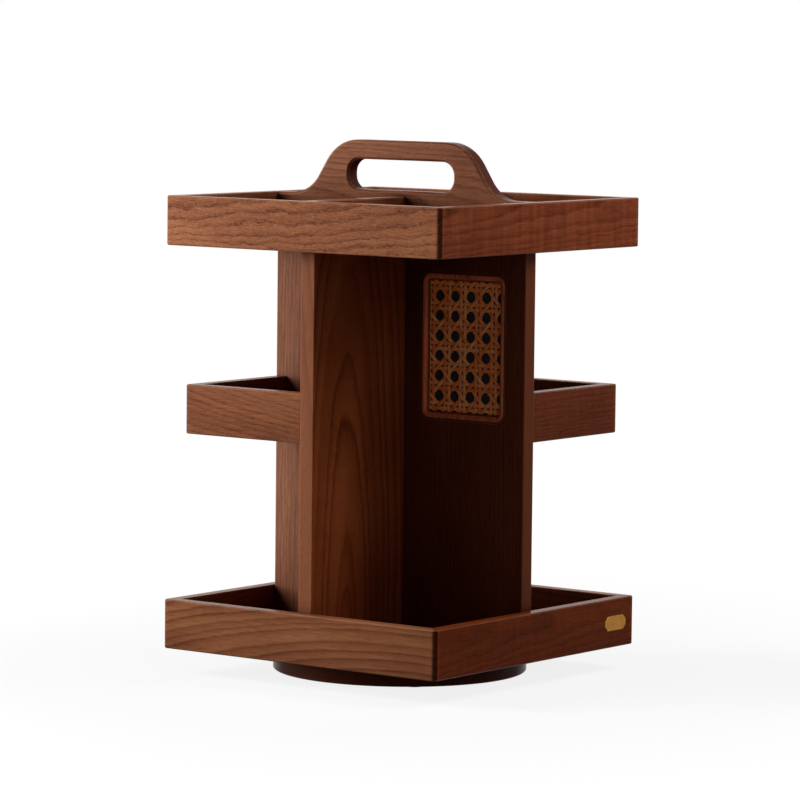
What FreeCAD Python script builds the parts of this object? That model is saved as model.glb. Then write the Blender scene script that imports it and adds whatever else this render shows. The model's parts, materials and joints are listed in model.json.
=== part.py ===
"""Rotating makeup organizer: open wooden trays on a turntable, all sizes in millimetres.

The organizer stands on a round base. A caged roller bearing carries a square bottom tray, and
a centre bolt ties the tray to the base, so that the whole can be carried by its handle. Upright
panels in the plan of a cross rise from the bottom tray to a square top tray with the handle.
Two opposite corners hold a small middle tray; the other two are tall bays for bottles, each
with a woven cane window in one of its walls.

Frame: +Z up, X and Y along the sides of the square trays, origin on the spin axis where the
feet meet the table. The object repeats itself after half a turn about Z, apart from the badge.
"""

import FreeCAD, Part
import math
import os

# ---------------------------------------------------------------- driving dimensions

# square trays
TRAY_SIDE = 260.0            # outside width of the bottom and top trays
TRAY_HEIGHT = 37.8           # height of every tray's wall
WALL = 10.4                  # thickness of a tray's wall
FLOOR = 9.0                  # thickness of a tray's floor board
FLOOR_HOUSING = 5.2          # how far a floor reaches into the rebate of a wall
CORNER_ROUND = 3.6           # rounding of a tray's upright outer corners
RIM_BEVEL = 0.7              # easing of a tray's top edges
UNDER_BEVEL = 0.7            # easing of a tray's bottom outer edges
DIVIDER = 12.0               # thickness of the top tray's dividers

# levels
COLUMN_RISE = 309.8          # underside of the bottom tray to underside of the top tray
MIDDLE_RISE = 165.4          # underside of the bottom tray to underside of a middle tray
MIDDLE_SETBACK = 0.4         # a middle tray's face behind the panels' ends

# upright panels
PANEL = 13.0                 # thickness of the panels and of the handle
PANEL_ROUND = 0.8            # easing of the panels' free upright edges
PANEL_END_GAP = 0.2          # panel end to the inside of the bottom tray's wall

# hidden joints between the boards
JOINT_GAP = 0.05             # clearance round a tongue, tenon or housed board
HOUSING_DEPTH = 3.0          # a middle tray's floor in the panels' grooves
TONGUE_SHOULDER = 3.6        # panel's face to the tongue on the short panels
TONGUE_DEPTH = 3.2
TENON_SHOULDER = 3.5         # panel's face to the tenons at its top and bottom
TENON_LENGTH = 46.0
TENON_LOW = 5.0              # tenon depth in the bottom tray's floor
TENON_HIGH = 8.0             # tenon depth above the top tray's floor, in handle or divider
TENON_END_GAP = 0.4          # air past a tenon's end
WALL_TENON_OUTER = 4.0       # shoulders of the tenon at a middle wall's end
WALL_TENON_INNER = 2.5
WALL_TENON_UNDER = 3.0       # tenon's lower edge above the floor board
WALL_TENON_RIM = 6.0         # tenon's upper edge below the rim
WALL_TENON_DEPTH = 5.0

# cane windows
WINDOW_INNER_MARGIN = 15.2   # bead to the face of the short panel
WINDOW_END_MARGIN = 17.9     # bead to the end of the long panel
WINDOW_TOP_MARGIN = 17.9     # bead to the underside of the top tray
WINDOW_FLOOR_MARGIN = 4.0    # bead to the floor of the middle tray behind it
WINDOW_ROUND = 8.5           # outer corner radius of the bead
BEAD_WIDTH = 3.4
BEAD_PROUD = 0.8             # bead in front of the panel's face
BEAD_BEVEL = 0.9             # easing of the bead's outer edge
CANE_DEPTH = 3.0             # panel's face to the front of the cane
CANE_THICKNESS = 1.6
CANE_PITCH_X = 14.6          # spacing of the holes in the weave
CANE_PITCH_Z = 15.3
CANE_HOLE = 7.8              # octagonal hole across its flats
CANE_FIRST_HOLE = 11.6       # nearest hole column from the inner side of the opening
CANE_EDGE_WEB = 1.5          # least weave left between a hole and the bead
FIT_GAP = 0.1                # clearance round a piece that drops into a recess

# handle
HANDLE_RISE = 42.5           # top of the handle above the tray's rim
HANDLE_TAIL = 14.2           # level run at rim height, at each end
SHOULDER_RADIUS = 36.0       # convex bend at each end of the level top
FOOT_RADIUS = 30.0           # concave bend where a slope runs out
SLOPE_ANGLE = 57.0           # slope between the two bends, degrees from level
GRIP_PAST_FLAT = 8.1         # hand hole past the level top, at each end
GRIP_HEIGHT = 23.3
GRIP_BELOW_TOP = 14.8        # wood left above the hand hole
GRIP_CORNER = 10.5
HANDLE_EASING = 1.8          # bevel of every edge that the hand meets

# turntable base
BASE_RADIUS = 98.0
BASE_THICKNESS = 12.2
BASE_TOP_BEVEL = 1.5
BASE_UNDER_BEVEL = 0.8
PAD_RADIUS = 7.0             # rubber pads under the base
PAD_THICKNESS = 2.0
PAD_MARGIN = 12.0            # pad to the rim of the base
PAD_COUNT = 4
PAD_ANGLE = 45.0             # first pad, from the +X axis
BEARING_GAP = 5.0            # top of the base to the underside of the bottom tray

# roller bearing
BEARING_RECESS = 3.0         # depth of the seat turned in the base
RACE_THICKNESS = 1.5         # flat steel ring above and below the rollers
RACE_INNER = 48.0
RACE_OUTER = 64.0
ROLLER_LENGTH = 9.0
ROLLER_COUNT = 4
ROLLER_PLAY = 0.05           # roller to each race
POCKET_PLAY = 0.3            # roller to each side of its slot in the cage
CAGE_HEIGHT = 3.4
CAGE_GUIDE_GAP = 0.3         # cage to the wall of the recess that centres it

# centre bolt
SHOULDER_SHANK = 4.0         # radius of the shoulder that turns in the base
BOLT_THREAD = 3.0            # radius above the shoulder
BOLT_PLAY = 0.05             # shoulder to the bore of the base
BOLT_HEAD_FLATS = 13.0
BOLT_HEAD_HEIGHT = 4.0
HEAD_SINK = 0.4              # head above the underside of the base
HEAD_WELL = 8.0              # radius of the counterbore
HEAD_PLAY = 0.1              # head to the seat it slides on
INSERT_RADIUS = 5.5          # threaded insert in the tray's floor
INSERT_LENGTH = 8.0

# badge
BADGE_WIDTH = 27.6
BADGE_HEIGHT = 11.4
BADGE_POINT = 3.6            # cut corners, so that the plate is a long octagon
BADGE_THICKNESS = 1.2
BADGE_PROUD = 0.5
BADGE_FROM_CORNER = 12.0     # badge to the tray's outside
BADGE_BEVEL = 0.25

# ---------------------------------------------------------------- levels and places worked out

base_under = PAD_THICKNESS
base_top = base_under + BASE_THICKNESS
bottom_tray_level = base_top + BEARING_GAP
middle_tray_level = bottom_tray_level + MIDDLE_RISE
top_tray_level = bottom_tray_level + COLUMN_RISE
top_rim_level = top_tray_level + TRAY_HEIGHT
half_side = TRAY_SIDE / 2
inner_half = half_side - WALL
half_panel = PANEL / 2
panel_reach = inner_half - PANEL_END_GAP
middle_half = panel_reach - MIDDLE_SETBACK
panel_bottom = bottom_tray_level + FLOOR
bearing_seat = base_top - BEARING_RECESS

Z_AXIS = FreeCAD.Vector(0, 0, 1)
ORIGIN = FreeCAD.Vector(0, 0, 0)
OVERRUN = 1.0                # how far a cutting shape passes the face that it opens
TOLERANCE = 1e-5             # places closer than this are one place


# ---------------------------------------------------------------- small helpers

def vector(x, y, z):
    return FreeCAD.Vector(x, y, z)


def block(low, high):
    """Box between two corners, each given as (x, y, z)."""
    size = [b - a for a, b in zip(low, high)]
    return Part.makeBox(size[0], size[1], size[2], vector(*low))


def rod(radius, low, high):
    """Round bar between two points."""
    start = vector(*low)
    along = vector(*high) - start
    return Part.makeCylinder(radius, along.Length, start, along)


def half_turn(shape):
    """The same shape on the other side of the spin axis."""
    turned = shape.copy()
    turned.rotate(ORIGIN, Z_AXIS, 180)
    return turned


def quarter_turns(shape, count):
    turned = shape.copy()
    turned.rotate(ORIGIN, Z_AXIS, 90 * count)
    return turned


def around_axis(shape, count, first_angle=0.0):
    """Copies of a shape spread evenly about the spin axis."""
    copies = []
    for index in range(count):
        turned = shape.copy()
        turned.rotate(ORIGIN, Z_AXIS, first_angle + 360.0 * index / count)
        copies.append(turned)
    return copies


def round_edges(shape, radius, wanted):
    """Round the edges for which wanted(edge) is true."""
    return shape.makeFillet(radius, [edge for edge in shape.Edges if wanted(edge)])


def bevel_edges(shape, size, wanted):
    """Bevel the edges for which wanted(edge) is true."""
    return shape.makeChamfer(size, [edge for edge in shape.Edges if wanted(edge)])


def ring(inside, outside, low, high):
    """Flat ring round the spin axis."""
    hole = rod(inside, (0, 0, low - OVERRUN), (0, 0, high + OVERRUN))
    return rod(outside, (0, 0, low), (0, 0, high)).cut(hole)


def is_upright(edge):
    box = edge.BoundBox
    return box.XLength < TOLERANCE and box.YLength < TOLERANCE


def lies_at_level(edge, level):
    box = edge.BoundBox
    return abs(box.ZMin - level) < TOLERANCE and abs(box.ZMax - level) < TOLERANCE


def lies_at_depth(edge, depth):
    box = edge.BoundBox
    return abs(box.YMin - depth) < TOLERANCE and abs(box.YMax - depth) < TOLERANCE


def plan_prism(points, low, high):
    """Upright prism on a plan outline of (x, y) points."""
    corners = [vector(x, y, low) for x, y in points]
    face = Part.Face(Part.makePolygon(corners + corners[:1]))
    return face.extrude(vector(0, 0, high - low))


def revolve_section(points):
    """Ring turned about the spin axis from a section of (radius, z) points."""
    corners = [vector(radius, 0, z) for radius, z in points]
    face = Part.Face(Part.makePolygon(corners + corners[:1]))
    return face.revolve(ORIGIN, Z_AXIS, 360)


def rounded_outline(width, height, radius):
    """Rounded rectangle in the XZ plane, centred on the origin."""
    across = width / 2
    up = height / 2
    bend = radius * (1 - math.sqrt(0.5))
    edges = []
    for sx, sz in ((1, 1), (-1, 1), (-1, -1), (1, -1)):
        side_end = vector(sx * across, 0, sz * (up - radius))
        top_end = vector(sx * (across - radius), 0, sz * up)
        middle = vector(sx * (across - bend), 0, sz * (up - bend))
        ends = (side_end, top_end) if sx * sz > 0 else (top_end, side_end)
        edges.append(Part.Arc(ends[0], middle, ends[1]).toShape())
    for index in range(4):
        last = edges[index].Vertexes[-1].Point
        following = edges[(index + 1) % 4].Vertexes[0].Point
        edges.append(Part.makeLine(last, following))
    return Part.Wire(Part.__sortEdges__(edges))


def rounded_slab(width, height, radius, front, back, centre_x, centre_z):
    """Rounded rectangle facing -Y, between two Y values."""
    face = Part.Face(rounded_outline(width, height, radius))
    slab = face.extrude(vector(0, back - front, 0))
    slab.translate(vector(centre_x, front, centre_z))
    return slab


def export(shape, node):
    shape.exportStep("parts/" + node + ".step")


# ---------------------------------------------------------------- turntable base

head_level = base_under + HEAD_SINK
shoulder_level = head_level + BOLT_HEAD_HEIGHT
well_top = shoulder_level + HEAD_PLAY


def base_pads():
    circle = BASE_RADIUS - PAD_MARGIN - PAD_RADIUS
    return around_axis(rod(PAD_RADIUS, (circle, 0, 0), (circle, 0, base_under)), PAD_COUNT, PAD_ANGLE)


def base_disc():
    disc = revolve_section([
        (0, base_under),
        (BASE_RADIUS - BASE_UNDER_BEVEL, base_under),
        (BASE_RADIUS, base_under + BASE_UNDER_BEVEL),
        (BASE_RADIUS, base_top - BASE_TOP_BEVEL),
        (BASE_RADIUS - BASE_TOP_BEVEL, base_top),
        (0, base_top),
    ])
    recess = rod(RACE_OUTER + FIT_GAP, (0, 0, bearing_seat), (0, 0, base_top + OVERRUN))
    bore = rod(SHOULDER_SHANK + BOLT_PLAY, (0, 0, base_under - OVERRUN), (0, 0, base_top))
    well = rod(HEAD_WELL, (0, 0, base_under - OVERRUN), (0, 0, well_top))
    return disc.cut([recess, bore, well])


# ---------------------------------------------------------------- centre bolt

def centre_bolt():
    """Shoulder bolt: the base turns on its shoulder, its end is fast in the tray's floor."""
    corner_radius = BOLT_HEAD_FLATS / math.sqrt(3)
    corners = []
    for index in range(6):
        angle = index * math.pi / 3
        corners.append((corner_radius * math.cos(angle), corner_radius * math.sin(angle)))
    head = plan_prism(corners, head_level, shoulder_level)
    shoulder = rod(SHOULDER_SHANK, (0, 0, shoulder_level), (0, 0, bottom_tray_level))
    thread = rod(BOLT_THREAD, (0, 0, bottom_tray_level), (0, 0, bottom_tray_level + INSERT_LENGTH))
    return head.fuse([shoulder, thread]).removeSplitter()


def threaded_insert():
    return ring(BOLT_THREAD + JOINT_GAP, INSERT_RADIUS, bottom_tray_level, bottom_tray_level + INSERT_LENGTH)


# ---------------------------------------------------------------- roller bearing

lower_race_top = bearing_seat + RACE_THICKNESS
upper_race_under = bottom_tray_level - RACE_THICKNESS
roller_level = (lower_race_top + upper_race_under) / 2
roller_radius = (upper_race_under - lower_race_top) / 2 - ROLLER_PLAY
roller_circle = (RACE_INNER + RACE_OUTER) / 2


def bearing_rollers():
    roller = rod(
        roller_radius,
        (roller_circle - ROLLER_LENGTH / 2, 0, roller_level),
        (roller_circle + ROLLER_LENGTH / 2, 0, roller_level),
    )
    return around_axis(roller, ROLLER_COUNT)


def roller_cage():
    """Flat ring with a slot for each roller."""
    half_height = CAGE_HEIGHT / 2
    outside = RACE_OUTER + FIT_GAP - CAGE_GUIDE_GAP
    cage = ring(RACE_INNER, outside, roller_level - half_height, roller_level + half_height)
    half_slot = ROLLER_LENGTH / 2 + POCKET_PLAY
    half_width = roller_radius + POCKET_PLAY
    slot = block(
        (roller_circle - half_slot, -half_width, bearing_seat),
        (roller_circle + half_slot, half_width, bottom_tray_level),
    )
    return cage.cut(around_axis(slot, ROLLER_COUNT))


# ---------------------------------------------------------------- tray walls and floors

def wall_ring(level):
    """Walls of a square tray in one piece, with eased edges and a rebate for the floor."""
    rim = level + TRAY_HEIGHT
    walls = block((-half_side, -half_side, level), (half_side, half_side, rim))
    walls = round_edges(walls, CORNER_ROUND, is_upright)
    walls = bevel_edges(walls, UNDER_BEVEL, lambda edge: lies_at_level(edge, level))
    hollow = block((-inner_half, -inner_half, level - OVERRUN), (inner_half, inner_half, rim + OVERRUN))
    walls = walls.cut(hollow)
    walls = bevel_edges(walls, RIM_BEVEL, lambda edge: lies_at_level(edge, rim))
    rebate = inner_half + FLOOR_HOUSING
    return walls.cut(block((-rebate, -rebate, level - OVERRUN), (rebate, rebate, level + FLOOR)))


def mitred_walls(level):
    """The four walls of a square tray, split at its diagonals: -Y, +X, +Y and -X."""
    walls = wall_ring(level)
    reach = half_side + OVERRUN
    top = level + TRAY_HEIGHT + OVERRUN
    sector = plan_prism([(0, 0), (-reach, -reach), (reach, -reach)], level - OVERRUN, top)
    return [walls.common(quarter_turns(sector, turns)) for turns in range(4)]


def square_floor(level):
    reach = inner_half + FLOOR_HOUSING
    return block((-reach, -reach, level), (reach, reach, level + FLOOR))


# ---------------------------------------------------------------- hidden joints between the boards

tongue_half = half_panel - TONGUE_SHOULDER
tongue_end = half_panel - TONGUE_DEPTH
tenon_half = half_panel - TENON_SHOULDER
tenon_centre = (half_panel + panel_reach) / 2


def panel_tenons(gap, end_gap):
    """Tenon at the foot and head of the panels' +X part, for any of the four directions."""
    start = tenon_centre - TENON_LENGTH / 2 - gap
    end = tenon_centre + TENON_LENGTH / 2 + gap
    across = tenon_half + gap
    low = block((start, -across, panel_bottom - TENON_LOW - end_gap), (end, across, panel_bottom + OVERRUN))
    head = top_tray_level + FLOOR + TENON_HIGH + end_gap
    high = block((start, -across, top_tray_level - OVERRUN), (end, across, head))
    return [low, high]


def all_mortises():
    """Cuts for the tenons of all four arms of the cross."""
    cuts = []
    for turns in range(4):
        cuts += [quarter_turns(tenon, turns) for tenon in panel_tenons(JOINT_GAP, TENON_END_GAP)]
    return cuts


def tongue(gap):
    """Upright tongue by which the -Y short panel stands in the long panel."""
    across = tongue_half + gap
    reach = tongue_end - gap
    return block((-across, -half_panel - OVERRUN, panel_bottom), (across, -reach, top_tray_level))


def wall_tenon(gap):
    """End of the -Y wall of the -X, -Y middle tray, let into the short panel."""
    outer = middle_half - WALL_TENON_OUTER + gap
    inner = middle_half - WALL + WALL_TENON_INNER - gap
    low = middle_tray_level + FLOOR + WALL_TENON_UNDER - gap
    high = middle_tray_level + TRAY_HEIGHT - WALL_TENON_RIM + gap
    end = -half_panel + WALL_TENON_DEPTH + gap
    return block((-half_panel - OVERRUN, -outer, low), (end, -inner, high))


def across_diagonal(shape):
    """Mirror image that swaps X and Y."""
    return shape.mirror(ORIGIN, vector(1, -1, 0))


def middle_wall_mortises():
    front = wall_tenon(JOINT_GAP)
    corner = [front, across_diagonal(front)]
    return corner + [half_turn(cut) for cut in corner]


# ---------------------------------------------------------------- middle trays

def middle_walls():
    """The two outer walls of the tray in the -X, -Y corner: the -Y wall, then the -X wall."""
    low = middle_tray_level
    rim = low + TRAY_HEIGHT
    inside = middle_half - WALL
    rim_limit = -half_panel - TOLERANCE
    shell = block((-middle_half, -middle_half, low), (-half_panel, -half_panel, rim))
    shell = round_edges(
        shell,
        CORNER_ROUND,
        lambda edge: is_upright(edge) and max(edge.CenterOfMass.x, edge.CenterOfMass.y) < -inside,
    )
    shell = bevel_edges(
        shell,
        UNDER_BEVEL,
        lambda edge: lies_at_level(edge, low) and min(edge.CenterOfMass.x, edge.CenterOfMass.y) < -inside,
    )
    shell = shell.cut(block((-inside, -inside, low - OVERRUN), (0, 0, rim + OVERRUN)))
    shell = bevel_edges(
        shell,
        RIM_BEVEL,
        lambda edge: lies_at_level(edge, rim) and max(edge.CenterOfMass.x, edge.CenterOfMass.y) < rim_limit,
    )
    rebate = inside + FLOOR_HOUSING
    shell = shell.cut(block((-rebate, -rebate, low - OVERRUN), (0, 0, low + FLOOR)))
    reach = middle_half + OVERRUN
    sector = plan_prism([(0, 0), (-reach, -reach), (0, -reach)], low - OVERRUN, rim + OVERRUN)
    front = shell.common(sector).fuse(wall_tenon(0)).removeSplitter()
    side = shell.common(across_diagonal(sector)).fuse(across_diagonal(wall_tenon(0))).removeSplitter()
    return front, side


def middle_floor():
    """Board that sits in the rebates of two walls and in a groove of two panels."""
    outer = middle_half - WALL + FLOOR_HOUSING
    inner = half_panel - HOUSING_DEPTH
    return block((-outer, -outer, middle_tray_level), (-inner, -inner, middle_tray_level + FLOOR))


def middle_floor_grooves():
    """Stopped grooves for both middle floors in the panels that carry them."""
    outer = middle_half - WALL + FLOOR_HOUSING + JOINT_GAP
    inner = half_panel - HOUSING_DEPTH - JOINT_GAP
    low = middle_tray_level - JOINT_GAP
    high = middle_tray_level + FLOOR + JOINT_GAP
    groove = block((-outer, -outer, low), (-inner, -inner, high))
    return [groove, half_turn(groove)]


# ---------------------------------------------------------------- cane windows

window_start = half_panel + WINDOW_INNER_MARGIN
window_end = panel_reach - WINDOW_END_MARGIN
window_foot = middle_tray_level + FLOOR + WINDOW_FLOOR_MARGIN
window_head = top_tray_level - WINDOW_TOP_MARGIN
window_width = window_end - window_start
window_height = window_head - window_foot
window_level = (window_foot + window_head) / 2
panel_face = -half_panel
cane_front = panel_face + CANE_DEPTH
cane_back = cane_front + CANE_THICKNESS


def window_slab(shrink, front, back):
    """Outline of the bead, drawn in by shrink, between two depths."""
    return rounded_slab(
        window_width - 2 * shrink,
        window_height - 2 * shrink,
        WINDOW_ROUND - shrink,
        front,
        back,
        (window_start + window_end) / 2,
        window_level,
    )


def window_cut():
    """Pocket in the panel's face, as deep as the cane and the bead over it; the wood behind stays."""
    return window_slab(0, panel_face - OVERRUN, cane_back)


def window_bead():
    front = panel_face - BEAD_PROUD
    outside = window_slab(FIT_GAP, front, cane_front)
    outside = bevel_edges(outside, BEAD_BEVEL, lambda edge: lies_at_depth(edge, front))
    return outside.cut(window_slab(BEAD_WIDTH, front - OVERRUN, cane_front + OVERRUN))


def octagon_hole(x, z):
    """Eight-sided hole through the cane at (x, z)."""
    circumradius = CANE_HOLE / 2 / math.cos(math.pi / 8)
    corners = []
    for index in range(8):
        angle = math.pi / 8 + index * math.pi / 4
        across = circumradius * math.cos(angle)
        up = circumradius * math.sin(angle)
        corners.append(vector(x + across, cane_front - OVERRUN, z + up))
    face = Part.Face(Part.makePolygon(corners + corners[:1]))
    return face.extrude(vector(0, CANE_THICKNESS + 2 * OVERRUN, 0))


def cane_sheet():
    """Cane webbing as a sheet with its holes, those that the bead would cut left out."""
    sheet = window_slab(FIT_GAP, cane_front, cane_back)
    clear = CANE_HOLE / 2 + CANE_EDGE_WEB
    rows = int((window_height / 2 - BEAD_WIDTH - clear) / CANE_PITCH_Z + 0.5)
    holes = []
    x = window_start + BEAD_WIDTH + CANE_FIRST_HOLE
    while x + clear <= window_end - BEAD_WIDTH:
        for row in range(-rows, rows):
            holes.append(octagon_hole(x, window_level + (row + 0.5) * CANE_PITCH_Z))
        x += CANE_PITCH_X
    return sheet.cut(holes)


# ---------------------------------------------------------------- upright panels

def long_panel():
    """Board along X, through the axis, with a cane window in each half."""
    board = block((-panel_reach, -half_panel, panel_bottom), (panel_reach, half_panel, top_tray_level))
    board = round_edges(board, PANEL_ROUND, is_upright)
    tenons = panel_tenons(0, 0)
    board = board.fuse(tenons + [half_turn(tenon) for tenon in tenons]).removeSplitter()
    opening = window_cut()
    groove = tongue(JOINT_GAP)
    cuts = [opening, half_turn(opening), groove, half_turn(groove)]
    return board.cut(cuts + middle_floor_grooves() + middle_wall_mortises())


def short_panel():
    """Board along Y from the long panel to the -Y side."""
    board = block((-half_panel, -panel_reach, panel_bottom), (half_panel, -half_panel, top_tray_level))
    board = round_edges(
        board,
        PANEL_ROUND,
        lambda edge: is_upright(edge) and edge.CenterOfMass.y < -half_panel - OVERRUN,
    )
    tenons = [quarter_turns(tenon, 3) for tenon in panel_tenons(0, 0)]
    board = board.fuse(tenons + [tongue(0)]).removeSplitter()
    return board.cut(middle_floor_grooves() + middle_wall_mortises())


# ---------------------------------------------------------------- handle and dividers

slope = math.radians(SLOPE_ANGLE)
shoulder_drop = SHOULDER_RADIUS * (1 - math.cos(slope))
foot_lift = FOOT_RADIUS * (1 - math.cos(slope))
slope_run = (HANDLE_RISE - shoulder_drop - foot_lift) / math.tan(slope)
foot_x = inner_half - HANDLE_TAIL
shoulder_x = foot_x - (FOOT_RADIUS + SHOULDER_RADIUS) * math.sin(slope) - slope_run
handle_top = top_rim_level + HANDLE_RISE


def handle_outline():
    """Side view of the handle board: level grip, two S-curved slopes, level tails."""
    low = top_tray_level + FLOOR
    tail = top_rim_level
    shoulder = vector(shoulder_x, 0, handle_top - SHOULDER_RADIUS)
    foot = vector(foot_x, 0, tail + FOOT_RADIUS)

    def on_shoulder(angle):
        return shoulder + vector(math.sin(angle), 0, math.cos(angle)) * SHOULDER_RADIUS

    def on_foot(angle):
        return foot - vector(math.sin(angle), 0, math.cos(angle)) * FOOT_RADIUS

    right = [
        Part.Arc(on_shoulder(0), on_shoulder(slope / 2), on_shoulder(slope)).toShape(),
        Part.makeLine(on_shoulder(slope), on_foot(slope)),
        Part.Arc(on_foot(slope), on_foot(slope / 2), on_foot(0)).toShape(),
        Part.makeLine(on_foot(0), vector(inner_half, 0, tail)),
        Part.makeLine(vector(inner_half, 0, tail), vector(inner_half, 0, low)),
    ]
    left = [edge.mirror(ORIGIN, vector(1, 0, 0)) for edge in right]
    top = Part.makeLine(vector(-shoulder_x, 0, handle_top), vector(shoulder_x, 0, handle_top))
    bottom = Part.makeLine(vector(inner_half, 0, low), vector(-inner_half, 0, low))
    return Part.Wire(Part.__sortEdges__(right + left + [top, bottom]))


def handle_board():
    board = Part.Face(handle_outline()).extrude(vector(0, PANEL, 0))
    board.translate(vector(0, -half_panel, 0))
    grip = rounded_slab(
        2 * (shoulder_x + GRIP_PAST_FLAT),
        GRIP_HEIGHT,
        GRIP_CORNER,
        -half_panel - OVERRUN,
        half_panel + OVERRUN,
        0,
        handle_top - GRIP_BELOW_TOP - GRIP_HEIGHT / 2,
    )
    board = board.cut(grip)

    def meets_hand(edge):
        """Edges of either face, but for those inside the tray."""
        box = edge.BoundBox
        on_face = abs(abs(box.YMin) - half_panel) < TOLERANCE
        in_tray = lies_at_level(edge, top_tray_level + FLOOR) or box.XMin > inner_half - TOLERANCE
        return box.YLength < TOLERANCE and on_face and not in_tray and box.XMax > -inner_half + TOLERANCE

    return bevel_edges(board, HANDLE_EASING, meets_hand).cut(all_mortises())


def divider():
    """Low board from the handle to the -Y wall of the top tray."""
    half = DIVIDER / 2
    low = top_tray_level + FLOOR
    board = block((-half, -inner_half, low), (half, -half_panel, top_rim_level))
    board = bevel_edges(
        board,
        RIM_BEVEL,
        lambda edge: lies_at_level(edge, top_rim_level) and edge.BoundBox.XLength < TOLERANCE,
    )
    return board.cut(all_mortises())


# ---------------------------------------------------------------- badge

def badge_outline(grow, front, back):
    """Long octagon facing +X, between two X values."""
    across = BADGE_WIDTH / 2 + grow
    up = BADGE_HEIGHT / 2 + grow
    cut = BADGE_POINT
    level = bottom_tray_level + TRAY_HEIGHT / 2
    corners = []
    for sy, sz in ((1, 1), (-1, 1), (-1, -1), (1, -1)):
        side = (sy * across, sz * (up - cut))
        top = (sy * (across - cut), sz * up)
        corners += [side, top] if sy * sz > 0 else [top, side]
    centre = half_side - BADGE_FROM_CORNER - BADGE_WIDTH / 2
    points = [vector(back, centre + y, level + z) for y, z in corners]
    face = Part.Face(Part.makePolygon(points + points[:1]))
    return face.extrude(vector(front - back, 0, 0))


def badge():
    front = half_side + BADGE_PROUD
    plate = badge_outline(0, front, front - BADGE_THICKNESS)
    return bevel_edges(plate, BADGE_BEVEL, lambda edge: abs(edge.BoundBox.XMin - front) < TOLERANCE)


def badge_seat():
    back = half_side + BADGE_PROUD - BADGE_THICKNESS
    return badge_outline(FIT_GAP, half_side + OVERRUN, back)


# ---------------------------------------------------------------- assembly

SIDES = ("front", "right", "rear", "left")


def write_base():
    export(base_disc(), "base_disc")
    export(Part.makeCompound(base_pads()), "base_pads")
    export(centre_bolt(), "centre_bolt")
    export(threaded_insert(), "threaded_insert")
    export(ring(RACE_INNER, RACE_OUTER, bearing_seat, lower_race_top), "lower_race")
    export(roller_cage(), "roller_cage")
    export(Part.makeCompound(bearing_rollers()), "bearing_rollers")
    export(ring(RACE_INNER, RACE_OUTER, upper_race_under, bottom_tray_level), "upper_race")


def write_bottom_tray():
    for side, wall in zip(SIDES, mitred_walls(bottom_tray_level)):
        if side == "right":
            wall = wall.cut(badge_seat())
        export(wall, "bottom_tray_" + side + "_wall")
    insert_top = bottom_tray_level + INSERT_LENGTH + FIT_GAP
    insert_foot = bottom_tray_level - OVERRUN
    insert_hole = rod(INSERT_RADIUS + JOINT_GAP, (0, 0, insert_foot), (0, 0, insert_top))
    export(square_floor(bottom_tray_level).cut(all_mortises() + [insert_hole]), "bottom_tray_floor")
    export(badge(), "badge_plate")


def write_panels():
    export(long_panel(), "long_panel")
    short = short_panel()
    export(short, "front_short_panel")
    export(half_turn(short), "rear_short_panel")
    sheet = cane_sheet()
    bead = window_bead()
    export(sheet, "right_cane_sheet")
    export(half_turn(sheet), "left_cane_sheet")
    export(bead, "right_window_bead")
    export(half_turn(bead), "left_window_bead")


def write_middle_trays():
    floor = middle_floor()
    front_wall, side_wall = middle_walls()
    export(floor, "left_middle_floor")
    export(front_wall, "left_middle_front_wall")
    export(side_wall, "left_middle_side_wall")
    export(half_turn(floor), "right_middle_floor")
    export(half_turn(front_wall), "right_middle_rear_wall")
    export(half_turn(side_wall), "right_middle_side_wall")


def write_top_tray():
    for side, wall in zip(SIDES, mitred_walls(top_tray_level)):
        export(wall, "top_tray_" + side + "_wall")
    export(square_floor(top_tray_level).cut(all_mortises()), "top_tray_floor")
    export(handle_board(), "handle_board")
    front_divider = divider()
    export(front_divider, "top_tray_front_divider")
    export(half_turn(front_divider), "top_tray_rear_divider")


os.makedirs("parts", exist_ok=True)
write_base()
write_bottom_tray()
write_panels()
write_middle_trays()
write_top_tray()
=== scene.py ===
"""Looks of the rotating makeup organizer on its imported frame: stained wood, woven cane, metals and rubber."""

import json
import math
import random

import bpy
import numpy as np
from mathutils import Matrix, Vector


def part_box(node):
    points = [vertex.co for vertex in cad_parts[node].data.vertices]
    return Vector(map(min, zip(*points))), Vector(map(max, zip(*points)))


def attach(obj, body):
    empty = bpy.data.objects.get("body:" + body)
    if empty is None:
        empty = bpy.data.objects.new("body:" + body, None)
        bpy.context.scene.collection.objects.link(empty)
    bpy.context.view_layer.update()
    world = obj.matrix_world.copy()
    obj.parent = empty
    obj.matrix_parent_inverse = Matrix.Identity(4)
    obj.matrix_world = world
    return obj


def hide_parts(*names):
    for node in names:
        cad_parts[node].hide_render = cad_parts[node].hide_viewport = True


MM = 0.001

# Camera: the view of the photograph, in degrees and metres.
CAMERA_AZIMUTH = 36.97
CAMERA_ELEVATION = 5.14
CAMERA_ROLL = 0.63
CAMERA_DISTANCE = 3.4116
CAMERA_AIM = Vector((-0.0016, -0.0012, 0.2100))
CAMERA_LENS = 199.37
CAMERA_SENSOR = 36.0
CAMERA_CLIP = (0.1, 50.0)

# Lamps: azimuth and elevation of each one as seen from the object, distance, width, height and power.
LAMP_AIM = Vector((0.0, 0.0, 0.22))
LAMPS = {
    "key": (-54.0, 16.0, 1.40, 0.60, 1.10, 33.0),
    "fill": (122.0, 44.0, 1.00, 0.45, 0.50, 6.4),
    "front": (70.0, 12.0, 1.10, 0.90, 0.70, 1.5),
    "overhead": (20.0, 84.0, 1.20, 0.90, 0.90, 1.2),
}
AMBIENT = 0.015

# Floor: its own glow rises to white between two distances from the object.
FLOOR_RADIUS = 4.0
FLOOR_TURNS = 96
FLOOR_NEAR = 0.30
FLOOR_FAR = 0.95
FLOOR_GLOW_NEAR = 0.85
FLOOR_ALBEDO = 0.12

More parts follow.
